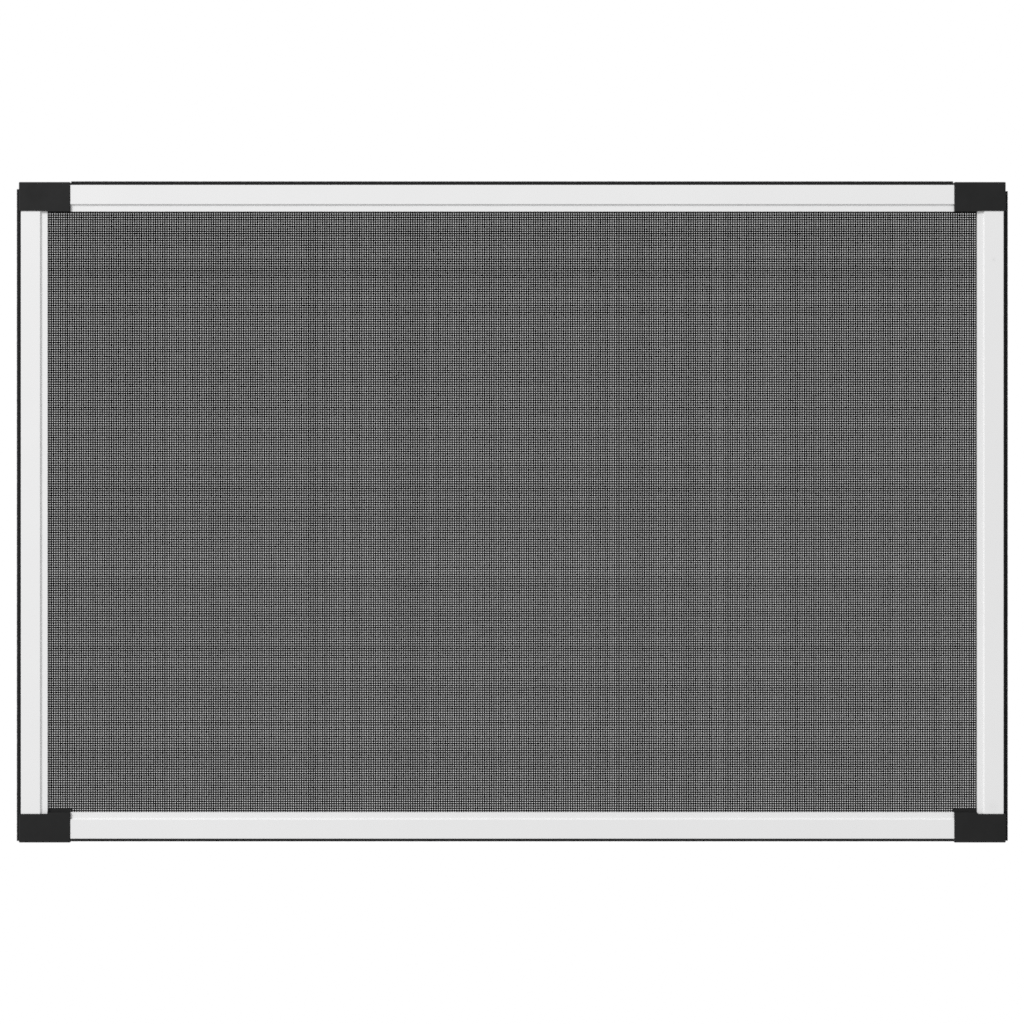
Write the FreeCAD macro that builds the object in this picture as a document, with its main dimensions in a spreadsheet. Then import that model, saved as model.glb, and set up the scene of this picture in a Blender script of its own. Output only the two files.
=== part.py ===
import FreeCAD, Part
import os
import re
import Sketcher
from FreeCAD import Placement, Rotation, Vector

# An insect screen for a window: four extruded aluminium rails plugged onto four moulded corner
# blocks, a woven mesh held at its hems by cords pressed into a groove, and a pile seal on each
# outer edge. X runs along the width, Z up, and the front faces -Y. The mid depth of the rails is
# y = 0 and the undersides of the lower corner blocks are z = 0.

doc = FreeCAD.newDocument("WindowScreen")

# Driving sizes in millimetres, and counts.
SIZES = [
    ("frame_width", 744, "over the outer edges of the two stiles"),
    ("frame_height", 495, "over the outer edges of the top and bottom rails"),
    ("rail_width", 20, "outer edge to inner edge of a rail"),
    ("rail_depth", 10, "front to back of a rail"),
    ("wall", 1.2, "wall of the extrusion"),
    ("band_width", 14.5, "flat band on the front of a rail"),
    ("step_run", 0.8, "width of the slope beside the band"),
    ("step_drop", 1.5, "how far the inner lip lies behind the band"),
    ("edge_radius", 0.5, "rounding of a rail's outer edges"),
    ("slot_lip", 0.9, "thickness of the two lips that hold a seal"),
    ("slot_depth", 1.3, "room behind those lips"),
    ("slot_width", 5.2, "width of that room"),
    ("slot_mouth", 3.6, "opening between the lips"),
    ("groove_width", 3.4, "width of the cord groove"),
    ("groove_wall", 1.2, "wall between the cord groove and the mesh opening"),
    ("groove_barb", 0.3, "how far the barb in the groove stands out"),
    ("block_length", 39, "side face to inner end of a corner block"),
    ("block_side_stand", 1.5, "how far a block stands out past the stile"),
    ("top_end_stand", 2.2, "how far an upper block stands out past the rail"),
    ("bottom_end_stand", 2.8, "how far a lower block stands out past the rail"),
    ("block_face_stand", 0.5, "how far a block stands proud of the rails, front and back"),
    ("block_radius", 0.8, "rounding of a block's edges"),
    ("top_stile_clearance", 0.9, "gap from the top rail's cord groove to the end of a stile"),
    ("bottom_stile_clearance", 0.1, "the same at the bottom rail"),
    ("top_ledge_reach", 1, "how far an upper block's ledge reaches into the opening"),
    ("bottom_ledge_reach", 3, "the same on a lower block"),
    ("ledge_thickness", 2, "thickness of that ledge"),
    ("ledge_slant", 1.2, "slant of the ledge's end"),
    ("tongue_length", 30, "how far a block's tongue goes into a rail"),
    ("tongue_clearance", 0.2, "gap round a tongue in its chamber"),
    ("tongue_taper", 2.5, "lead-in at a tongue's tip"),
    ("tongue_barb_rise", 0.6, "how far the barbs stand out of a tongue"),
    ("tongue_barb_run", 2.5, "length of a barb's slope"),
    ("tongue_barb_pitch", 5, "one barb to the next"),
    ("tongue_barb_count", 4, "barbs on each side of a tongue"),
    ("backing_thickness", 0.8, "backing strip of a seal"),
    ("backing_clearance", 0.2, "gap on each side of the backing in its slot"),
    ("pile_clearance", 0.3, "gap on each side of the pile in the slot's mouth"),
    ("side_pile_reach", 3.3, "how far the side seals stand out past the stiles"),
    ("end_pile_reach", 2.5, "how far the top and bottom seals stand out past the rails"),
    ("pile_tip", 0.6, "bevel along the pile's tip"),
    ("side_seal_top_gap", 6.3, "top of the blocks to the end of a side seal"),
    ("side_seal_bottom_gap", 2, "underside of the blocks to the end of a side seal"),
    ("hem_thickness", 0.3, "mesh where it is folded into the groove"),
    ("cord_clearance", 0.1, "play of the cord between the groove's wall and the hem"),
    ("thread_pitch", 1.759, "one mesh thread to the next, both ways"),
    ("threads_per_ridge", 4, "threads that one modelled ridge stands for"),
    ("thread_rise", 0.15, "how far the threads stand out of the mesh's middle"),
    ("web_thickness", 0.2, "middle of the mesh between its two layers of threads"),
    ("gap_columns", 12, "openings across the mesh"),
    ("gap_rows", 10, "openings up the mesh"),
    ("gap_ridges_across", 3, "ridges that an opening takes out, across"),
    ("gap_ridges_up", 2, "and up"),
]

sheet = doc.addObject("Spreadsheet::Sheet", "Sizes")
for row, (alias, value, note) in enumerate(SIZES, start=1):
    sheet.set(f"A{row}", alias)
    sheet.set(f"B{row}", str(value))
    sheet.set(f"C{row}", note)
    sheet.setAlias(f"B{row}", alias)
doc.recompute()


def bound(text):
    """Turn a formula in size names into one that reads the sheet."""
    return re.sub(r"[a-z][a-z_]+", lambda name: "Sizes." + name.group(0), text)


def size(text):
    """The present value of such a formula."""
    return float(sheet.evalExpression(bound(text)))


# Places across a rail, from its outer edge (0) to its inner edge (rail_width).
SLOT_FLOOR = "(slot_lip + slot_depth)"
CHAMBER_OUTER = f"({SLOT_FLOOR} + wall)"
GROOVE_INNER = "(rail_width - groove_wall)"
GROOVE_OUTER = f"({GROOVE_INNER} - groove_width)"
CHAMBER_INNER = f"({GROOVE_OUTER} - wall)"

# Places through a rail, from its front (-rail_depth / 2) to its back (rail_depth / 2).
FRONT = "(-rail_depth / 2)"
BACK = "(rail_depth / 2)"
LIP_FACE = f"({FRONT} + step_drop)"
GROOVE_FLOOR = f"({LIP_FACE} + wall)"
CORD_DIAMETER = "(groove_width - hem_thickness - cord_clearance)"
MESH_SEAT = f"({GROOVE_FLOOR} + hem_thickness + {CORD_DIAMETER})"

# Where the rails, stiles and blocks meet.
BLOCK_END = "(block_length - block_side_stand)"
BLOCK_HALF_DEPTH = "(rail_depth / 2 + block_face_stand)"
LEFT = "(-frame_width / 2)"
RIGHT = "(frame_width / 2)"
BOTTOM = "bottom_end_stand"
TOP = "(bottom_end_stand + frame_height)"


def originPlane(body, role):
    return next(f for f in body.Origin.OriginFeatures if f.Role == role)


def newBody(label):
    body = doc.addObject("PartDesign::Body", label)
    body.Label = label
    return body


def outline(body, name, role, loops, offset="0"):
    """A sketch of closed loops whose corners are tied to the sheet."""
    sketch = body.newObject("Sketcher::SketchObject", name)
    sketch.AttachmentSupport = [(originPlane(body, role), "")]
    sketch.MapMode = "FlatFace"
    sketch.setExpression("AttachmentOffset.Base.z", bound(offset))
    for loop in loops:
        first = sketch.GeometryCount
        corners = [Vector(size(x), size(y), 0) for x, y in loop]
        count = len(corners)
        for i in range(count):
            sketch.addGeometry(Part.LineSegment(corners[i], corners[(i + 1) % count]), False)
        for i in range(count):
            following = first + (i + 1) % count
            sketch.addConstraint(Sketcher.Constraint("Coincident", first + i, 2, following, 1))
        for i, (x, y) in enumerate(loop):
            for kind, formula in (("DistanceX", x), ("DistanceY", y)):
                rule = Sketcher.Constraint(kind, -1, 1, first + i, 1, size(formula))
                sketch.setExpression(f"Constraints[{sketch.addConstraint(rule)}]", bound(formula))
    return sketch


def rectangle(x0, y0, x1, y1):
    return [(x0, y0), (x1, y0), (x1, y1), (x0, y1)]


def pad(body, name, sketch, length, midplane=False):
    feature = body.newObject("PartDesign::Pad", name)
    feature.Profile = sketch
    feature.Midplane = midplane
    feature.setExpression("Length", bound(length))
    return feature


def pocket(body, name, sketch, through=False, length="1"):
    feature = body.newObject("PartDesign::Pocket", name)
    feature.Profile = sketch
    if through:
        feature.Type = "ThroughAll"
        feature.Midplane = True
    else:
        feature.setExpression("Length", bound(length))
    return feature


def place(item, turn, x, z, y="0"):
    item.Placement = Placement(Vector(), Rotation(Vector(0, 1, 0), turn))
    item.setExpression("Placement.Base.x", bound(x))
    item.setExpression("Placement.Base.y", bound(y))
    item.setExpression("Placement.Base.z", bound(z))


def placeAlongEdge(item, side, start):
    """Put a length drawn across a rail (x inward, z along) on one side of the frame.

    The start is measured from the corner of the frame where the length begins."""
    if side == "left":
        place(item, 0, LEFT, f"{BOTTOM} + {start}")
    elif side == "right":
        place(item, 180, RIGHT, f"{TOP} - {start}")
    elif side == "top":
        place(item, 90, f"{LEFT} + {start}", TOP)
    else:
        place(item, -90, f"{RIGHT} - {start}", BOTTOM)


def stileSeat(end):
    """From the outer edge of the top or bottom rail to where the stiles end."""
    return f"({GROOVE_INNER} + {end}_stile_clearance)"


RAIL_LENGTH = f"(frame_width - 2 * {BLOCK_END})"
STILE_LENGTH = f"(frame_height - {stileSeat('top')} - {stileSeat('bottom')})"

# One extruded section serves all four sides: a slot for the seal in its outer edge, a closed
# chamber for the blocks' tongues, a step down to the lip, and the cord groove behind the lip.
SECTION = [
    ("0", FRONT),
    ("band_width", FRONT),
    ("band_width + step_run", LIP_FACE),
    ("rail_width", LIP_FACE),
    ("rail_width", MESH_SEAT),
    (GROOVE_INNER, MESH_SEAT),
    (GROOVE_INNER, GROOVE_FLOOR),
    (GROOVE_OUTER, GROOVE_FLOOR),
    (GROOVE_OUTER, MESH_SEAT),
    (f"{GROOVE_OUTER} + groove_barb", f"{MESH_SEAT} + groove_barb"),
    (GROOVE_OUTER, f"{MESH_SEAT} + 3 * groove_barb"),
    (GROOVE_OUTER, BACK),
    ("0", BACK),
    ("0", "slot_mouth / 2"),
    ("slot_lip", "slot_mouth / 2"),
    ("slot_lip", "slot_width / 2"),
    (SLOT_FLOOR, "slot_width / 2"),
    (SLOT_FLOOR, "-slot_width / 2"),
    ("slot_lip", "-slot_width / 2"),
    ("slot_lip", "-slot_mouth / 2"),
    ("0", "-slot_mouth / 2"),
]
CHAMBER = rectangle(CHAMBER_OUTER, f"{FRONT} + wall", CHAMBER_INNER, f"{BACK} - wall")


def makeRail(label, side, length, start):
    body = newBody(label)
    section = outline(body, label + "_section", "XY_Plane", [SECTION, CHAMBER])
    bar = pad(body, label + "_bar", section, length)
    doc.recompute()
    outer = size(BACK)
    corners = [
        f"Edge{i}"
        for i, edge in enumerate(bar.Shape.Edges, start=1)
        if all(abs(v.X) < 1e-6 and abs(abs(v.Y) - outer) < 1e-6 for v in edge.Vertexes)
    ]
    rounding = body.newObject("PartDesign::Fillet", label + "_edges")
    rounding.Base = (bar, corners)
    rounding.setExpression("Radius", bound("edge_radius"))
    placeAlongEdge(body, side, start)
    return body


def makeCorner(label, hand, side, end):
    """A moulded block with a barbed tongue for the rail and one for the stile.

    It is drawn from the corner of the frame, x inward along the rail and z inward along the
    stile. A hand of -1 draws the mirror image. The upper and lower mouldings differ in how far
    they stand out past the rail, where the stile meets them and how far their ledge reaches."""
    way = "" if hand > 0 else "-1 * "

    def across(loop):
        return [(f"{way}({x})", z) for x, z in loop]

    body = newBody(label)
    side_face = "(-block_side_stand)"
    end_face = f"(-{end}_end_stand)"
    seat = stileSeat(end)
    plan = [
        (side_face, end_face),
        (BLOCK_END, end_face),
        (BLOCK_END, "rail_width"),
        ("rail_width", "rail_width"),
        ("rail_width", seat),
        (side_face, seat),
    ]
    sketch = outline(body, label + "_plan", "XZ_Plane", [across(plan)])
    block = pad(body, label + "_block", sketch, f"2 * {BLOCK_HALF_DEPTH}", midplane=True)
    doc.recompute()

    # Rounded where the block is handled: its outer corner and the rims of its outer faces.
    outer_x, end_x, end_z = hand * size(side_face), hand * size(BLOCK_END), size(end_face)
    rims = []
    for i, edge in enumerate(block.Shape.Edges, start=1):
        ends = [v.Point for v in edge.Vertexes]
        on_end = all(abs(p.z - end_z) < 1e-6 for p in ends)
        on_side = any(all(abs(p.x - x) < 1e-6 for p in ends) for x in (outer_x, end_x))
        through = abs(ends[0].y - ends[1].y) > 1e-6
        if on_end or (on_side and not through):
            rims.append(f"Edge{i}")
    rounding = body.newObject("PartDesign::Fillet", label + "_rims")
    rounding.Base = (block, rims)
    rounding.setExpression("Radius", bound("block_radius"))

    # The ledge lies behind the front, against the mesh, and reaches into the opening.
    ledge = [
        ("rail_width", "rail_width - groove_wall"),
        (BLOCK_END, "rail_width - groove_wall"),
        (BLOCK_END, "rail_width"),
        (f"{BLOCK_END} + ledge_slant", f"rail_width + {end}_ledge_reach"),
        ("rail_width", f"rail_width + {end}_ledge_reach"),
    ]
    sketch = outline(body, label + "_ledge_plan", "XZ_Plane", [across(ledge)], f"-{MESH_SEAT}")
    pad(body, label + "_ledge", sketch, "ledge_thickness")

    # Behind, the block is cut back to the mesh's seat, and the cord groove turns its corner.
    back_cut = rectangle(GROOVE_OUTER, GROOVE_OUTER, f"{BLOCK_END} + 1", "rail_width + 1")
    sketch = outline(body, label + "_back_plan", "XZ_Plane", [across(back_cut)], f"-{MESH_SEAT}")
    pocket(body, label + "_back_cut", sketch, length=f"{BLOCK_HALF_DEPTH} - {MESH_SEAT}")
    turn = [
        (GROOVE_OUTER, GROOVE_OUTER),
        (f"{BLOCK_END} + 1", GROOVE_OUTER),
        (f"{BLOCK_END} + 1", GROOVE_INNER),
        (GROOVE_INNER, GROOVE_INNER),
        (GROOVE_INNER, f"{seat} + 1"),
        (GROOVE_OUTER, f"{seat} + 1"),
    ]
    sketch = outline(body, label + "_groove_plan", "XZ_Plane", [across(turn)], f"-{GROOVE_FLOOR}")
    pocket(body, label + "_groove", sketch, length=f"{MESH_SEAT} - {GROOVE_FLOOR}")

    # The stile's seal slot goes on through the block's side.
    slot = [
        ("-block_side_stand - 1", "-slot_mouth / 2"),
        ("slot_lip", "-slot_mouth / 2"),
        ("slot_lip", "-slot_width / 2"),
        (SLOT_FLOOR, "-slot_width / 2"),
        (SLOT_FLOOR, "slot_width / 2"),
        ("slot_lip", "slot_width / 2"),
        ("slot_lip", "slot_mouth / 2"),
        ("-block_side_stand - 1", "slot_mouth / 2"),
    ]
    sketch = outline(body, label + "_slot_plan", "XY_Plane", [across(slot)])
    pocket(body, label + "_slot", sketch, through=True)

    # Tongues, each with a tapered tip and rows of barbs that bite in the rail's chamber.
    near = f"({CHAMBER_OUTER} + tongue_clearance)"
    far = f"({CHAMBER_INNER} - tongue_clearance)"
    core_near = f"({near} + tongue_barb_rise)"
    core_far = f"({far} - tongue_barb_rise)"
    thickness = "rail_depth - 2 * wall - 2 * tongue_clearance"
    for name, root, axis in (("rail", BLOCK_END, "H_Axis"), ("stile", seat, "V_Axis")):
        tip = f"({root} + tongue_length)"
        core = [
            (f"{root} - 1", core_near),
            (f"{tip} - tongue_taper", core_near),
            (tip, f"{core_near} + tongue_taper / 2"),
            (tip, f"{core_far} - tongue_taper / 2"),
            (f"{tip} - tongue_taper", core_far),
            (f"{root} - 1", core_far),
        ]
        heel = f"({tip} - tongue_taper - tongue_barb_run)"
        barbs = [
            [(heel, core_near), (heel, near), (f"{heel} + tongue_barb_run", core_near)],
            [(heel, core_far), (f"{heel} + tongue_barb_run", core_far), (heel, far)],
        ]
        if axis == "V_Axis":
            core = [(z, x) for x, z in core]
            barbs = [[(z, x) for x, z in barb] for barb in barbs]
        sketch = outline(body, f"{label}_{name}_tongue_plan", "XZ_Plane", [across(core)])
        pad(body, f"{label}_{name}_tongue", sketch, thickness, midplane=True)
        barb_loops = [across(barb) for barb in barbs]
        sketch = outline(body, f"{label}_{name}_barb_plan", "XZ_Plane", barb_loops)
        barb_pair = pad(body, f"{label}_{name}_barbs", sketch, thickness, midplane=True)
        row = body.newObject("PartDesign::LinearPattern", f"{label}_{name}_barb_row")
        row.Originals = [barb_pair]
        row.Direction = (sketch, [axis])
        row.Reversed = axis == "V_Axis" or hand > 0
        row.Mode = "Spacing"
        row.setExpression("Offset", bound("tongue_barb_pitch"))
        row.setExpression("Occurrences", bound("tongue_barb_count"))
        body.Tip = row
    placeAlongEdge(body, side, "0")
    return body


def makeSeal(label, side, reach, length, start):
    """A woven backing strip, held behind the slot's lips, and the pile that stands on it."""
    backing_top = "slot_lip"
    half_backing = "(slot_width / 2 - backing_clearance)"
    half_pile = "(slot_mouth / 2 - pile_clearance)"
    strip = newBody(label + "_backing")
    shape = rectangle(backing_top, f"-{half_backing}", f"{backing_top} + backing_thickness", half_backing)
    pad(strip, label + "_strip", outline(strip, label + "_strip_section", "XY_Plane", [shape]), length)
    placeAlongEdge(strip, side, start)

    pile = newBody(label + "_pile")
    shape = [
        (backing_top, f"-{half_pile}"),
        (backing_top, half_pile),
        (f"pile_tip - {reach}", half_pile),
        (f"-{reach}", f"{half_pile} - pile_tip"),
        (f"-{reach}", f"pile_tip - {half_pile}"),
        (f"pile_tip - {reach}", f"-{half_pile}"),
    ]
    pad(pile, label + "_fibres", outline(pile, label + "_fibre_section", "XY_Plane", [shape]), length)
    placeAlongEdge(pile, side, start)
    return [strip, pile]


def makeCord(label, side, length, start):
    cord = doc.addObject("Part::Cylinder", label)
    cord.Label = label
    cord.setExpression("Radius", bound(f"{CORD_DIAMETER} / 2"))
    cord.setExpression("Height", bound(length))
    placeAlongEdge(cord, side, start)
    middle = f"({GROOVE_OUTER} + (cord_clearance + {CORD_DIAMETER}) / 2)"
    depth = f"({MESH_SEAT} - {CORD_DIAMETER} / 2)"
    cord.setExpression("Placement.Base.y", bound(depth))
    inward = {"left": ("x", LEFT, "+"), "right": ("x", RIGHT, "-"),
              "top": ("z", TOP, "-"), "bottom": ("z", BOTTOM, "+")}
    axis, edge, sign = inward[side]
    cord.setExpression(f"Placement.Base.{axis}", bound(f"{edge} {sign} {middle}"))
    return cord


def ridgeCount(half_span, pitch):
    return int(2 * half_span / pitch)


def gapSides(half_span, pitch, share, ridges):
    """The two valleys between which an opening at a share of a ridged plate's span is cut."""
    count = ridgeCount(half_span, pitch)
    start = pitch * (round(share * count - ridges / 2) - count / 2)
    return start, start + pitch * ridges


def ridgedPlate(half_span, web, rise, pitch, length):
    """A plate with a V-shaped ridge for each thread, from y = 0 (ridge tops) to y = rise + web.

    It spans x = -half_span to half_span, and its ridges run along z."""
    count = ridgeCount(half_span, pitch)
    first = -pitch * count / 2
    crest = [Vector(-half_span, rise, 0), Vector(first, rise, 0)]
    for i in range(count):
        crest.append(Vector(first + (i + 0.5) * pitch, 0, 0))
        crest.append(Vector(first + (i + 1) * pitch, rise, 0))
    crest.append(Vector(half_span, rise, 0))
    back = [Vector(half_span, rise + web, 0), Vector(-half_span, rise + web, 0)]
    ring = crest + back
    profile = Part.Face(Part.makePolygon(ring + ring[:1]))
    return profile.extrude(Vector(0, 0, length))


def makeMesh(label):
    """The woven mesh: upright threads in front, level threads behind, and a hem folded into
    the groove all round. It is woven so fine that a ridge stands for several threads here, and
    a plain grid of openings lets through as much as all its cells do."""
    pitch = size("thread_pitch * threads_per_ridge")
    rise, web = size("thread_rise"), size("web_thickness")
    seat, floor, hem = size(MESH_SEAT), size(GROOVE_FLOOR), size("hem_thickness")
    middle_z = size(f"({BOTTOM} + {TOP}) / 2")
    half_x, half_z = size("frame_width / 2"), size("frame_height / 2")
    thickness = 2 * rise + web

    def ring(outer, inner, front, back):
        """A rectangular band between two distances in from the frame's edges."""
        boxes = []
        for inset in (outer, inner):
            width, height = 2 * (half_x - inset), 2 * (half_z - inset)
            corner = Vector(-width / 2, front, middle_z - height / 2)
            boxes.append(Part.makeBox(width, back - front, height, corner))
        return boxes[0].cut(boxes[1])

    groove_outer, groove_inner = size(GROOVE_OUTER), size(GROOVE_INNER)
    opening = size("rail_width")
    selvedge = ring(groove_inner - hem, opening, seat, seat + thickness)
    hem_wall = ring(groove_inner - hem, groove_inner, floor, seat + rise)
    hem_foot = ring(groove_outer + size("cord_clearance"), groove_inner, floor, floor + hem)

    # Each layer of threads reaches a little into the selvedge, so that they join.
    bite = size("groove_wall / 2")
    field_x, field_z = half_x - opening + bite, half_z - opening + bite
    upright = ridgedPlate(field_x, web / 2, rise, pitch, 2 * field_z)
    upright.translate(Vector(0, seat, middle_z - field_z))
    level = ridgedPlate(field_z, web / 2, rise, pitch, 2 * field_x)
    level.rotate(Vector(), Vector(0, 1, 0), 90)
    level.rotate(Vector(), Vector(1, 0, 0), 180)
    level.translate(Vector(-field_x, seat + thickness, middle_z))
    cloth = selvedge.multiFuse([hem_wall, hem_foot, upright, level])

    # Openings from valley to valley, spread evenly over the mesh.
    columns, rows = int(size("gap_columns")), int(size("gap_rows"))
    across, up = int(size("gap_ridges_across")), int(size("gap_ridges_up"))
    cells = []
    for column in range(columns):
        left, right = gapSides(field_x, pitch, (column + 0.5) / columns, across)
        for row in range(rows):
            low, high = gapSides(field_z, pitch, (row + 0.5) / rows, up)
            corner = Vector(left, seat - rise, middle_z + low)
            cells.append(Part.makeBox(right - left, thickness + 2 * rise, high - low, corner))
    feature = doc.addObject("Part::Feature", label)
    feature.Label = label
    feature.Shape = cloth.cut(Part.makeCompound(cells)).Solids[0]
    return feature


parts = []
parts.append(makeRail("top_rail", "top", RAIL_LENGTH, BLOCK_END))
parts.append(makeRail("bottom_rail", "bottom", RAIL_LENGTH, BLOCK_END))
parts.append(makeRail("left_stile", "left", STILE_LENGTH, stileSeat("bottom")))
parts.append(makeRail("right_stile", "right", STILE_LENGTH, stileSeat("top")))

# The right block of each pair is the mirror image of the left one. What is drawn for the lower
# left, turned half round, stands at the upper right.
parts.append(makeCorner("corner_bottom_left", 1, "left", "bottom"))
parts.append(makeCorner("corner_top_right", 1, "right", "top"))
parts.append(makeCorner("corner_bottom_right", -1, "left", "bottom"))
place(parts[-1], 0, RIGHT, BOTTOM)
parts.append(makeCorner("corner_top_left", -1, "left", "top"))
place(parts[-1], 180, LEFT, TOP)

block_height = "(frame_height + bottom_end_stand + top_end_stand)"
side_length = f"({block_height} - side_seal_top_gap - side_seal_bottom_gap)"
parts += makeSeal("top_seal", "top", "end_pile_reach", RAIL_LENGTH, BLOCK_END)
parts += makeSeal("bottom_seal", "bottom", "end_pile_reach", RAIL_LENGTH, BLOCK_END)
lower_end = "(side_seal_bottom_gap - bottom_end_stand)"
upper_end = "(side_seal_top_gap - top_end_stand)"
parts += makeSeal("left_seal", "left", "side_pile_reach", side_length, lower_end)
parts += makeSeal("right_seal", "right", "side_pile_reach", side_length, upper_end)

# The upper and lower cords run past the ends of the side cords.
cord_end = f"({GROOVE_OUTER} + cord_clearance)"
side_cord_end = f"({GROOVE_INNER} - hem_thickness + cord_clearance)"
parts.append(makeCord("top_cord", "top", f"frame_width - 2 * {cord_end}", cord_end))
parts.append(makeCord("bottom_cord", "bottom", f"frame_width - 2 * {cord_end}", cord_end))
parts.append(makeCord("left_cord", "left", f"frame_height - 2 * {side_cord_end}", side_cord_end))
parts.append(makeCord("right_cord", "right", f"frame_height - 2 * {side_cord_end}", side_cord_end))

parts.append(makeMesh("insect_mesh"))
doc.recompute()

for item in doc.Objects:
    if "Invalid" in item.State or "Error" in item.State:
        raise RuntimeError(f"{item.Label} failed: {item.State}")
os.makedirs("parts", exist_ok=True)
for item in parts:
    shape = item.Shape
    if shape.isNull() or not shape.isValid() or len(shape.Solids) != 1:
        raise RuntimeError(f"{item.Label} is not one valid solid")
    shape.exportStep(f"parts/{item.Label}.step")
    print(item.Label, round(shape.Volume, 1), shape.BoundBox)
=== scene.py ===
import math
import random

import bmesh
import bpy
from mathutils import Matrix, Vector


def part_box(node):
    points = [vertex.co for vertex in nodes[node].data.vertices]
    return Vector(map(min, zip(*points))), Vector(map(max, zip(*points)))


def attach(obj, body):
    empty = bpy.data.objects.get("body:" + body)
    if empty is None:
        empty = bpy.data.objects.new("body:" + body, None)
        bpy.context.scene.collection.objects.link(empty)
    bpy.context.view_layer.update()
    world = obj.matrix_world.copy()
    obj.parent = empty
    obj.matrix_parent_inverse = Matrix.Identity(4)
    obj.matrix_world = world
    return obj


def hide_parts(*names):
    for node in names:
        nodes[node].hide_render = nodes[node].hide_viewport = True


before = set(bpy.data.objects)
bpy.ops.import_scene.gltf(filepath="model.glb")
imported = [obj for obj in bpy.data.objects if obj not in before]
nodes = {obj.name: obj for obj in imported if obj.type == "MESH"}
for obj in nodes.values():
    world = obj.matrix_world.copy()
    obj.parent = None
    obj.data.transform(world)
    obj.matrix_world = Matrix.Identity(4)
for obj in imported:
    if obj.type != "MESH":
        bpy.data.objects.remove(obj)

mm = 0.001
scene = bpy.context.scene
frameEdges = ("top", "bottom", "left", "right")
screenMiddle = Vector((0, 0, 250 * mm))
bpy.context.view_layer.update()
print("frame loaded,", len(nodes), "nodes")


def addObject(name, data):
    added = bpy.data.objects.new(name, data)
    scene.collection.objects.link(added)
    return added


# camera, level and square to the front, a hair off the middle as in the photo
cameraSettings = {
    "distance": 4.0,
    "across": -0.22 * mm,
    "height": 250.2 * mm,
    "faceDepth": -5.5 * mm,
    "lens": 185.8,
    "sensorWidth": 36,
    "clipStart": 0.05,
}


def makeCamera(settings):
    data = bpy.data.cameras.new("photoCamera")
    data.lens = settings["lens"]
    data.sensor_width = settings["sensorWidth"]
    data.clip_start = settings["clipStart"]
    camera = addObject("photoCamera", data)
    depth = settings["faceDepth"] - settings["distance"]
    camera.location = (settings["across"], depth, settings["height"])
    camera.rotation_euler = (math.radians(90), 0, 0)
    scene.camera = camera


makeCamera(cameraSettings)
print("camera set")


# small helpers for the node trees
def plugIn(tree, node, inputs):
    # a socket is linked, a colour or a number is set
    for key, value in inputs.items():
        socket = node.inputs[key]
        if isinstance(value, bpy.types.NodeSocket):
            tree.links.new(value, socket)
        elif socket.type == "RGBA":
            socket.default_value = (*value, 1)
        else:
            socket.default_value = value


def addNode(tree, kind, inputs, **options):
    node = tree.nodes.new(kind)
    for key, value in options.items():
        setattr(node, key, value)
    plugIn(tree, node, inputs)
    return node


def calc(tree, operation, first, second=0.0):
    return addNode(tree, "ShaderNodeMath", {0: first, 1: second}, operation=operation).outputs[0]


def wave(tree, kind, axis, length, middle=0.0):
    along = calc(tree, "SUBTRACT", axis, middle)
    return calc(tree, kind, calc(tree, "MULTIPLY", along, 2 * math.pi / length))


def splitAxes(tree, point):
    return addNode(tree, "ShaderNodeSeparateXYZ", {0: point}).outputs


def noise(tree, point, scale, detail, roughness=0.5):
    inputs = {"Vector": point, "Scale": scale, "Detail": detail, "Roughness": roughness}
    return addNode(tree, "ShaderNodeTexNoise", inputs).outputs["Fac"]


def ramp(tree, factor, places, colours):
    node = addNode(tree, "ShaderNodeValToRGB", {"Fac": factor})
    for element, place, colour in zip(node.color_ramp.elements, places, colours):
        element.position = place
        element.color = (*colour, 1)
    return node.outputs["Color"]


def fade(tree, value, start, end, atStart, atEnd):
    inputs = {
        "Value": value,
        "From Min": start, "From Max": end,
        "To Min": atStart, "To Max": atEnd,
    }
    return addNode(tree, "ShaderNodeMapRange", inputs).outputs["Result"]


def blend(tree, factor, first, second):
    # a mix node takes its colours at 6 and 7 and gives the mixed one at 2
    inputs = {0: factor, 6: first, 7: second}
    return addNode(tree, "ShaderNodeMix", inputs, data_type="RGBA").outputs[2]


def bump(tree, height, depth, strength, normal=None):
    inputs = {"Height": height, "Distance": depth, "Strength": strength}
    if normal is not None:
        inputs["Normal"] = normal
    return addNode(tree, "ShaderNodeBump", inputs).outputs["Normal"]


def startMaterial(name):
    material = bpy.data.materials.new(name)
    material.use_nodes = True
    tree = material.node_tree
    point = tree.nodes.new("ShaderNodeTexCoord").outputs["Object"]
    return material, tree, tree.nodes["Principled BSDF"], point


# settings whose names end in
#   Noise hold scale, detail and maybe roughness
#   Fade hold start, end and the values there
#   Places hold the two stops of a ramp
#   Bump hold depth and strength

# white powder coat on the aluminium
coatSettings = {
    "specular": 0.5,
    "deep": (0.765, 0.766, 0.767),
    "pale": (0.785, 0.786, 0.786),
    "cloudNoise": (5, 3),
    "cloudPlaces": (0.35, 0.65),
    "speckColour": (0.6, 0.6, 0.6),
    "speckNoise": (2600, 1),
    "speckFade": (0.62, 0.8, 0, 0.12),
    "scuffs": [  # place, reach, strength
        ((0.3646, 0.4414), 0.0022, 0.5),
        ((0.3640, 0.0270), 0.006, 0.25),
    ],
    "scuffColour": (0.45, 0.45, 0.44),
    "scuffNoise": (1400, 2),
    "scuffFade": (0.45, 0.6, 0, 1),
    "glossNoise": (60, 2),
    "glossFade": (0.3, 0.7, 0.36, 0.46),
    "peelNoise": (850, 2),
    "peelBump": (0.02 * mm, 0.6),
}


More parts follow.
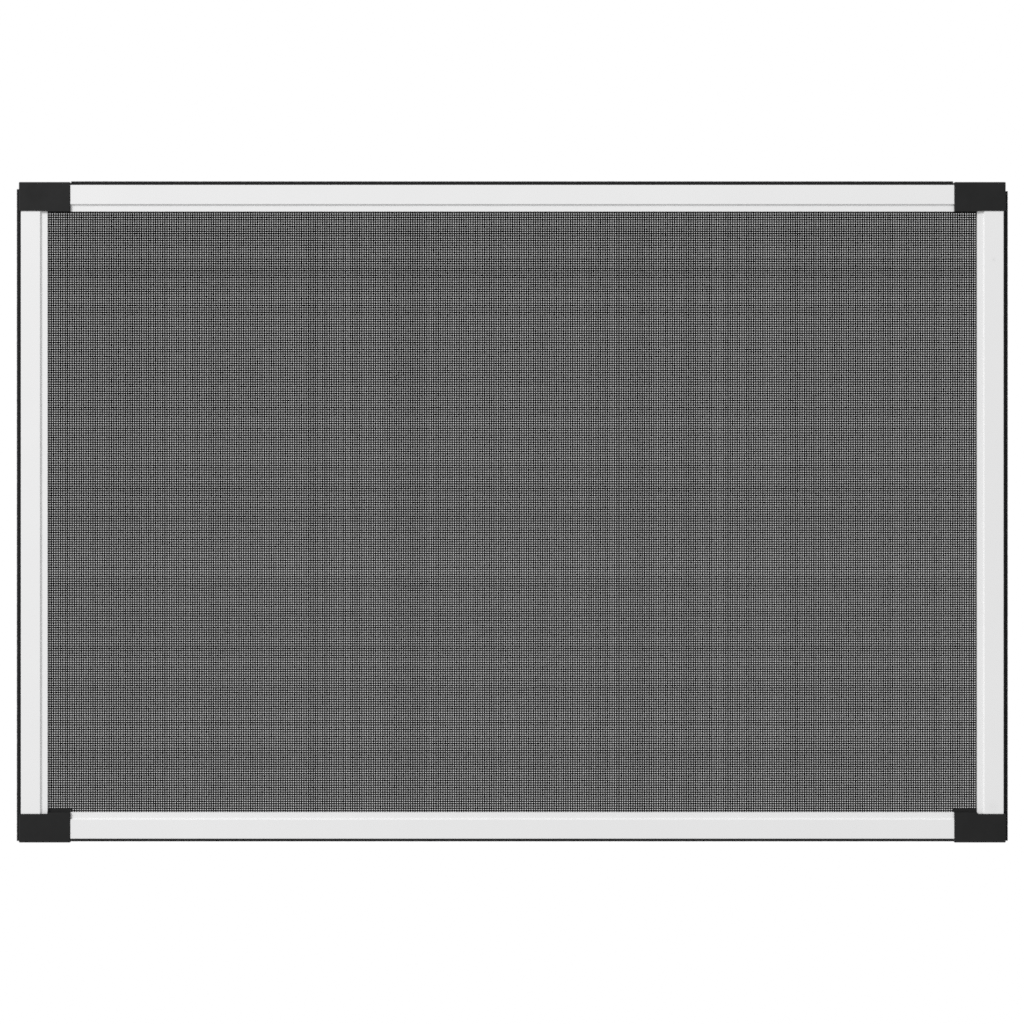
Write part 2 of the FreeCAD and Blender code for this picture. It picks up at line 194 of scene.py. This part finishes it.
def powderCoat(settings):
    material, tree, shader, point = startMaterial("whitePowderCoat")
    cloud = noise(tree, point, *settings["cloudNoise"])
    speck = noise(tree, point, *settings["speckNoise"])
    gloss = noise(tree, point, *settings["glossNoise"])
    peel = noise(tree, point, *settings["peelNoise"])
    worn = fade(tree, noise(tree, point, *settings["scuffNoise"]), *settings["scuffFade"])
    colour = ramp(tree, cloud, settings["cloudPlaces"], (settings["deep"], settings["pale"]))
    colour = blend(tree, fade(tree, speck, *settings["speckFade"]), colour, settings["speckColour"])
    axes = splitAxes(tree, point)
    for (x, z), reach, strength in settings["scuffs"]:
        offset = {0: calc(tree, "SUBTRACT", axes[0], x), 2: calc(tree, "SUBTRACT", axes[2], z)}
        away = {0: addNode(tree, "ShaderNodeCombineXYZ", offset).outputs[0]}
        length = addNode(tree, "ShaderNodeVectorMath", away, operation="LENGTH").outputs["Value"]
        patch = fade(tree, length, 0, reach, strength, 0)
        colour = blend(tree, calc(tree, "MULTIPLY", patch, worn), colour, settings["scuffColour"])
    plugIn(tree, shader, {
        "Base Color": colour,
        "Specular IOR Level": settings["specular"],
        "Roughness": fade(tree, gloss, *settings["glossFade"]),
        "Normal": bump(tree, peel, *settings["peelBump"]),
    })
    return material


# black moulded plastic of the corner blocks
mouldSettings = {
    "specular": 0.31,
    "dark": (0.0045, 0.0047, 0.0048),
    "light": (0.0075, 0.0076, 0.0078),
    "cloudNoise": (45, 3),
    "cloudPlaces": (0.35, 0.7),
    "dustColour": (0.06, 0.06, 0.058),
    "dustFade": (0.66, 0.8, 0, 0.1),
    "grainNoise": (1700, 3, 0.6),
    "grainBump": (0.03 * mm, 0.5),
    "flowNoise": (260, 2),
    "flowFade": (0.3, 0.7, 0.44, 0.54),
}


def mouldedPlastic(settings):
    material, tree, shader, point = startMaterial("blackMouldedPlastic")
    cloud = noise(tree, point, *settings["cloudNoise"])
    grain = noise(tree, point, *settings["grainNoise"])
    flow = noise(tree, point, *settings["flowNoise"])
    colour = ramp(tree, cloud, settings["cloudPlaces"], (settings["dark"], settings["light"]))
    dust = fade(tree, grain, *settings["dustFade"])
    plugIn(tree, shader, {
        "Base Color": blend(tree, dust, colour, settings["dustColour"]),
        "Specular IOR Level": settings["specular"],
        "Roughness": fade(tree, flow, *settings["flowFade"]),
        "Normal": bump(tree, grain, *settings["grainBump"]),
    })
    return material


# helpers for the pieces
def repeatAlong(bm, count, step):
    # count copies of what is in bm, one step apart and centred, by doubling the row
    copyLayer = bm.verts.layers.int.new("copy")
    made = 1
    while made < count:
        more = min(made, count - made)
        row = [vert for vert in bm.verts if vert[copyLayer] < more]
        for kind in (bm.edges, bm.faces):
            row += [item for item in kind if item.verts[0][copyLayer] < more]
        added = bmesh.ops.duplicate(bm, geom=row)["geom"]
        copied = [item for item in added if isinstance(item, bmesh.types.BMVert)]
        bmesh.ops.translate(bm, verts=copied, vec=step * made)
        for vert in copied:
            vert[copyLayer] += made
        made += more
    bmesh.ops.translate(bm, verts=bm.verts, vec=step * (1 - count) / 2)
    return copyLayer


def smoothSides(bm):
    # the four-cornered faces go round, the others are flat ends
    for face in bm.faces:
        face.smooth = len(face.verts) == 4


def makePiece(name, bm, material):
    bmesh.ops.recalc_face_normals(bm, faces=bm.faces)
    data = bpy.data.meshes.new(name)
    bm.to_mesh(data)
    bm.free()
    data.materials.append(material)
    piece = addObject(name, data)
    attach(piece, "root")
    return piece


# insect mesh: coated threads in two layers, with their ends folded into the groove
meshSettings = {
    "pitch": 1.757 * mm,
    "uprights": 401,
    "levels": 260,
    "uprightMiddle": 0.126 * mm,
    "levelMiddle": 249.52 * mm,
    "uprightCentre": 250.3 * mm,  # height of the uprights' middles
    "uprightHalf": 228.85 * mm,  # to the wall of the groove
    "levelHalf": 353.35 * mm,
    "uprightDepth": 1.14 * mm,
    "levelDepth": 1.36 * mm,
    "footDepth": -2.13 * mm,
    "footReach": 3.1 * mm,
    "threadSides": 8,
    "threadWidth": 1.15 * mm,
    "threadThickness": 0.28 * mm,
    "wander": {"uprights": 0.025 * mm, "levels": 0.014 * mm},  # how far threads tend to lie off
    "widthSpread": 0.034,
    "seed": 4,
    "specular": 0.1,
    "roughness": 0.5,
    "dark": (0.006, 0.006, 0.0062),
    "light": (0.013, 0.013, 0.0132),
    "shadePlaces": (0.2, 0.9),
    # how strongly the weave's over and under is painted on the threads as light and shade
    "weavePaintedShade": -0.3,
    "weaveBump": (0.12 * mm, 1.0),
    "lumpNoise": (1500, 2),
    "lumpBump": (0.03 * mm, 0.5),
}


def threadMaterial(settings):
    material, tree, shader, point = startMaterial("coatedMeshThread")
    x, y, z = splitAxes(tree, point)
    twoThreads = 2 * settings["pitch"]
    across = wave(tree, "COSINE", x, twoThreads, settings["uprightMiddle"])
    upward = wave(tree, "SINE", z, twoThreads, settings["levelMiddle"])
    between = (settings["uprightDepth"] + settings["levelDepth"]) / 2
    isLevel = calc(tree, "GREATER_THAN", y, between)
    layer = calc(tree, "SUBTRACT", calc(tree, "MULTIPLY", isLevel, 2.0), 1.0)
    # over one thread, under the next
    weave = calc(tree, "MULTIPLY", calc(tree, "MULTIPLY", across, upward), layer)
    lump = noise(tree, point, *settings["lumpNoise"])
    # painted light and shade: the thread's tone rises and falls with its over and under in the
    # weave, plus random lumps
    shade = calc(tree, "ADD", calc(tree, "MULTIPLY", weave, settings["weavePaintedShade"]), lump)
    colour = ramp(tree, shade, settings["shadePlaces"], (settings["dark"], settings["light"]))
    woven = bump(tree, weave, *settings["weaveBump"])
    plugIn(tree, shader, {
        "Base Color": colour,
        "Specular IOR Level": settings["specular"],
        "Roughness": settings["roughness"],
        "Normal": bump(tree, lump, *settings["lumpBump"], woven),
    })
    return material


def threadShape(half, depth, settings):
    # one thread along X: a flat ring pushed from foot to foot round four mitred bends
    bm = bmesh.new()
    bmesh.ops.create_circle(bm, segments=settings["threadSides"], radius=0.5)
    acrossLayer = bm.verts.layers.float.new("across")
    throughLayer = bm.verts.layers.float.new("through")
    for vert in bm.verts:
        vert[acrossLayer] = vert.co.x * settings["threadWidth"]
        vert[throughLayer] = vert.co.y * settings["threadThickness"]
    foot, reach = settings["footDepth"], settings["footReach"]
    stations = [  # along, depth, and which way the thickness lies
        (-half - reach, foot, (0, 1)), (-half, foot, (-1, 1)), (-half, depth, (-1, 1)),
        (half, depth, (1, 1)), (half, foot, (1, 1)), (half + reach, foot, (0, 1)),
    ]
    ring = list(bm.edges)
    for index, (along, out, lie) in enumerate(stations):
        if index:
            added = bmesh.ops.extrude_edge_only(bm, edges=ring)["geom"]
            pushed = [item for item in added if isinstance(item, bmesh.types.BMEdge)]
            ring = [edge for edge in pushed if edge.is_boundary]
        for vert in {vert for edge in ring for vert in edge.verts}:
            through = vert[throughLayer]
            vert.co = (along + lie[0] * through, out + lie[1] * through, vert[acrossLayer])
    bmesh.ops.holes_fill(bm, edges=bm.edges, sides=0)
    return bm


def layRow(bm, kind, axis, settings, chance):
    # no thread lies quite true or is quite as wide as the next
    count, pitch = settings[kind], settings["pitch"]
    step = Vector((0, 0, 0))
    step[axis] = pitch
    copyLayer = repeatAlong(bm, count, step)
    shifts = [chance.gauss(0, settings["wander"][kind]) for _ in range(count)]
    widths = [chance.gauss(1, settings["widthSpread"]) for _ in range(count)]
    for vert in bm.verts:
        index = vert[copyLayer]
        place = (index - (count - 1) / 2) * pitch
        vert.co[axis] = place + (vert.co[axis] - place) * widths[index] + shifts[index]


def makeScreenMesh(settings):
    chance = random.Random(settings["seed"])
    levels = threadShape(settings["levelHalf"], settings["levelDepth"], settings)
    layRow(levels, "levels", 2, settings, chance)
    bmesh.ops.translate(levels, verts=levels.verts, vec=(0, 0, settings["levelMiddle"]))
    uprights = threadShape(settings["uprightHalf"], settings["uprightDepth"], settings)
    upended = Matrix.Rotation(math.radians(-90), 3, "Y")
    bmesh.ops.rotate(uprights, verts=uprights.verts, matrix=upended)
    layRow(uprights, "uprights", 0, settings, chance)
    middle = (settings["uprightMiddle"], 0, settings["uprightCentre"])
    bmesh.ops.translate(uprights, verts=uprights.verts, vec=middle)
    spare = bpy.data.meshes.new("uprights")
    uprights.to_mesh(spare)
    uprights.free()
    levels.from_mesh(spare)
    bpy.data.meshes.remove(spare)
    smoothSides(levels)
    piece = makePiece("screen_mesh", levels, threadMaterial(settings))
    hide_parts("insect_mesh")
    return piece


screenMesh = makeScreenMesh(meshSettings)
print("mesh woven,", len(screenMesh.data.polygons), "faces")


# brush seals: tufts of stiff fibre standing on their backing
brushSettings = {
    "tuftStep": 0.5 * mm,
    "fibresAcross": 6,
    "fibreSides": 3,
    "fibreRadius": 0.26 * mm,
    "tipRadius": 0.25 * mm,
    "fibreTurn": 1.3,  # radians from one fibre of a tuft to the next
    "stagger": 0.4,  # likewise, in tuft steps
    "fan": 0.12,  # how much narrower a tuft is at its root
    "lean": 0.05,
    "shorter": 0.04,
    "proud": {  # past the solid's tip
        "top": 0.5 * mm, "bottom": -0.3 * mm, "left": 0.2 * mm, "right": 0.2 * mm,
    },
    "past": {  # past its lower and upper end
        "left": (1.3 * mm, 1.5 * mm), "right": (1.1 * mm, -0.1 * mm),
    },
    "seed": 11,
    "specular": 0.2,
    "roughness": 0.7,
    "sheen": 0.15,
    "sheenRoughness": 0.5,
    # the root colour is painted shade deep in the tuft; the fibres darken from tip to root
    "root": (0.001, 0.001, 0.001),
    "tip": (0.022, 0.022, 0.023),
    "rootShadePlaces": (0.3, 1.0),
    "shadeNoise": (900, 2),
    "shadeFade": (0.35, 0.7, 0, 0.5),
}


def fibreMaterial(settings):
    material, tree, shader, point = startMaterial("brushFibre")
    share = addNode(tree, "ShaderNodeAttribute", {}, attribute_name="tipShare").outputs["Fac"]
    # painted shade: each fibre darkens from its tip to its root
    colour = ramp(tree, share, settings["rootShadePlaces"], (settings["root"], settings["tip"]))
    shade = fade(tree, noise(tree, point, *settings["shadeNoise"]), *settings["shadeFade"])
    plugIn(tree, shader, {
        "Base Color": blend(tree, shade, colour, settings["root"]),
        "Specular IOR Level": settings["specular"],
        "Roughness": settings["roughness"],
        "Sheen Weight": settings["sheen"],
        "Sheen Roughness": settings["sheenRoughness"],
    })
    return material


def makeBrush(edge, settings, material):
    replaced = edge + "_seal_pile"
    low, high = (Vector(corner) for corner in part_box(replaced))
    below, above = settings["past"].get(edge, (0, 0))
    low.z -= below
    high.z += above
    size, centre = high - low, (low + high) / 2
    if size.z > size.x:
        length, height = size.z, size.x
        outward = Vector((math.copysign(1, centre.x), 0, 0))
    else:
        length, height = size.x, size.z
        outward = Vector((0, 0, math.copysign(1, centre.z - screenMiddle.z)))
    root = centre - outward * height / 2
    height += settings["proud"][edge]
    count = int(length / settings["tuftStep"])
    step = (length - 2 * (settings["fibreRadius"] + settings["lean"] * height)) / count
    fibres = settings["fibresAcross"]
    gap = (size.y - 2 * settings["fibreRadius"]) / fibres
    bm = bmesh.new()
    shareLayer = bm.verts.layers.float.new("tipShare")
    fibreLayer = bm.verts.layers.int.new("fibre")
    for index in range(fibres):
        stagger = (index * settings["stagger"] % 1 - settings["stagger"]) * step
        place = Matrix.Translation((stagger, (index - (fibres - 1) / 2) * gap, height / 2))
        fibre = bmesh.ops.create_cone(
            bm, cap_ends=True, segments=settings["fibreSides"], depth=height,
            radius1=settings["fibreRadius"], radius2=settings["tipRadius"],
            matrix=place @ Matrix.Rotation(index * settings["fibreTurn"], 4, "Z"),
        )
        for vert in fibre["verts"]:
            vert[fibreLayer] = index
    for vert in bm.verts:
        vert[shareLayer] = 1.0 if vert.co.z > height / 2 else 0.0
        vert.co.y *= 1 + settings["fan"] * (vert[shareLayer] - 1)
    copyLayer = repeatAlong(bm, count, Vector((step, 0, 0)))
    chance = random.Random(settings["seed"])
    each = range(count * fibres)
    leans = [chance.uniform(-1, 1) * settings["lean"] * height for _ in each]
    shorter = [chance.uniform(0, settings["shorter"]) * height for _ in each]
    for vert in bm.verts:
        if vert[shareLayer]:
            index = vert[copyLayer] * fibres + vert[fibreLayer]
            vert.co.x += leans[index]
            vert.co.z -= shorter[index]
    turn = Vector((0, 0, 1)).rotation_difference(outward).to_matrix().to_4x4()
    if outward.z < 0:  # a half turn needs its axis named
        turn = Matrix.Rotation(math.pi, 4, "Y")
    bmesh.ops.transform(bm, matrix=Matrix.Translation(root) @ turn, verts=bm.verts)
    piece = makePiece(edge + "_brush", bm, material)
    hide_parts(replaced)
    return piece


brushFibre = fibreMaterial(brushSettings)
for edge in frameEdges:
    brush = makeBrush(edge, brushSettings, brushFibre)
print("brush seals made,", len(brush.data.polygons), "faces in the last")


# rubber cords that hold the mesh in its groove, ribbed round
cordSettings = {
    "ribStep": 1.5 * mm,
    "ribDepth": 0.13 * mm,
    "cordSides": 14,
    "weld": 0.01 * mm,
    "specular": 0.3,
    "dark": (0.006, 0.006, 0.006),
    "light": (0.014, 0.014, 0.014),
    "cloudNoise": (120, 3),
    "cloudPlaces": (0.35, 0.65),
    "glossNoise": (400, 2),
    "glossFade": (0.3, 0.7, 0.55, 0.72),
    "grainNoise": (2400, 2),
    "grainBump": (0.02 * mm, 0.5),
}


def cordRubber(settings):
    material, tree, shader, point = startMaterial("blackRubberCord")
    cloud = noise(tree, point, *settings["cloudNoise"])
    gloss = noise(tree, point, *settings["glossNoise"])
    grain = noise(tree, point, *settings["grainNoise"])
    colour = ramp(tree, cloud, settings["cloudPlaces"], (settings["dark"], settings["light"]))
    plugIn(tree, shader, {
        "Base Color": colour,
        "Specular IOR Level": settings["specular"],
        "Roughness": fade(tree, gloss, *settings["glossFade"]),
        "Normal": bump(tree, grain, *settings["grainBump"]),
    })
    return material


def makeCord(name, replaced, settings, material):
    low, high = (Vector(corner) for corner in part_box(replaced))
    size, centre = high - low, (low + high) / 2
    length, radius = max(size), size.y / 2
    count = round(length / settings["ribStep"])
    step = length / count
    bm = bmesh.new()
    below = Matrix.Translation((0, 0, -step / 4))
    for turnOver in (0, math.pi):  # a rib is two cones, base to base
        bmesh.ops.create_cone(
            bm, cap_ends=False, segments=settings["cordSides"], depth=step / 2,
            radius1=radius - settings["ribDepth"], radius2=radius,
            matrix=Matrix.Rotation(turnOver, 4, "X") @ below,
        )
    repeatAlong(bm, count, Vector((0, 0, step)))
    bmesh.ops.remove_doubles(bm, verts=bm.verts, dist=settings["weld"])
    bmesh.ops.holes_fill(bm, edges=bm.edges, sides=0)
    turn = Matrix.Rotation(math.radians(90), 4, "Y") if size.x > size.z else Matrix.Identity(4)
    bmesh.ops.transform(bm, matrix=Matrix.Translation(centre) @ turn, verts=bm.verts)
    smoothSides(bm)
    piece = makePiece(name, bm, material)
    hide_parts(replaced)
    return piece


rubber = cordRubber(cordSettings)
for edge in frameEdges:
    cord = makeCord(edge + "_ribbed_cord", edge + "_cord", cordSettings, rubber)
print("cords made,", len(cord.data.polygons), "faces in the last")


# woven backing strips of the seals
backingSettings = {
    "specular": 0.3,
    "roughness": 0.6,
    "gap": (0.006, 0.006, 0.006),
    "thread": (0.02, 0.02, 0.021),
    "weave": 0.7 * mm,
    "weaveFade": (-1, 1, 0, 1),
    "weavePlaces": (0.2, 0.8),
    "weaveBump": (0.08 * mm, 0.8),
}


def wovenBacking(settings):
    material, tree, shader, point = startMaterial("wovenBacking")
    x, y, z = (wave(tree, "SINE", axis, settings["weave"]) for axis in splitAxes(tree, point))
    weave = calc(tree, "ADD", calc(tree, "MULTIPLY", x, y), calc(tree, "MULTIPLY", z, y))
    shade = fade(tree, weave, *settings["weaveFade"])
    colour = ramp(tree, shade, settings["weavePlaces"], (settings["gap"], settings["thread"]))
    plugIn(tree, shader, {
        "Base Color": colour,
        "Specular IOR Level": settings["specular"],
        "Roughness": settings["roughness"],
        "Normal": bump(tree, weave, *settings["weaveBump"]),
    })
    return material


def dress(names, material):
    for name in names:
        for materialSlot in nodes[name].material_slots:
            materialSlot.material = material


dress(["top_rail", "bottom_rail", "left_stile", "right_stile"], powderCoat(coatSettings))
dress([name for name in nodes if name.startswith("corner_")], mouldedPlastic(mouldSettings))
dress([name for name in nodes if name.endswith("_seal_backing")], wovenBacking(backingSettings))
print("rails, blocks and backings dressed")


# white studio: even sky, a little brighter overhead, and one soft key from the upper left
studioSettings = {
    "white": (1, 1, 1),
    "page": 1.0,  # strength of what the camera sees behind the screen
    "skyFade": (-0.6, 0.6, 0.53, 0.605),
    "keyFrom": (-0.59, -0.61, 0.525),
    "keyDistance": 7.5,
    "keySize": 2.9,
    "keyPower": 440.0,
    "filterWidth": 1.68,
}


def makeStudio(settings):
    world = bpy.data.worlds.new("whiteStudio")
    scene.world = world
    world.use_nodes = True
    tree = world.node_tree
    sky = tree.nodes["Background"]
    direction = tree.nodes.new("ShaderNodeTexCoord").outputs["Generated"]
    strength = fade(tree, splitAxes(tree, direction)[2], *settings["skyFade"])
    plugIn(tree, sky, {"Color": settings["white"], "Strength": strength})
    page = addNode(
        tree, "ShaderNodeBackground",
        {"Color": settings["white"], "Strength": settings["page"]},
    )
    seen = tree.nodes.new("ShaderNodeLightPath").outputs["Is Camera Ray"]
    inputs = {0: seen, 1: sky.outputs[0], 2: page.outputs[0]}
    mixed = addNode(tree, "ShaderNodeMixShader", inputs)
    plugIn(tree, tree.nodes["World Output"], {"Surface": mixed.outputs[0]})
    light = bpy.data.lights.new("softKey", "AREA")
    light.shape = "DISK"
    light.size = settings["keySize"]
    light.energy = settings["keyPower"]
    key = addObject("softKey", light)
    keySide = Vector(settings["keyFrom"]).normalized()
    key.location = screenMiddle + keySide * settings["keyDistance"]
    key.rotation_euler = keySide.to_track_quat("Z", "Y").to_euler()
    key.visible_camera = False
    scene.view_settings.view_transform = "Standard"
    scene.cycles.pixel_filter_type = "BLACKMAN_HARRIS"
    scene.cycles.filter_width = settings["filterWidth"]
    scene.cycles.use_denoising = False  # it would smear the fine mesh


makeStudio(studioSettings)
print("studio lit")
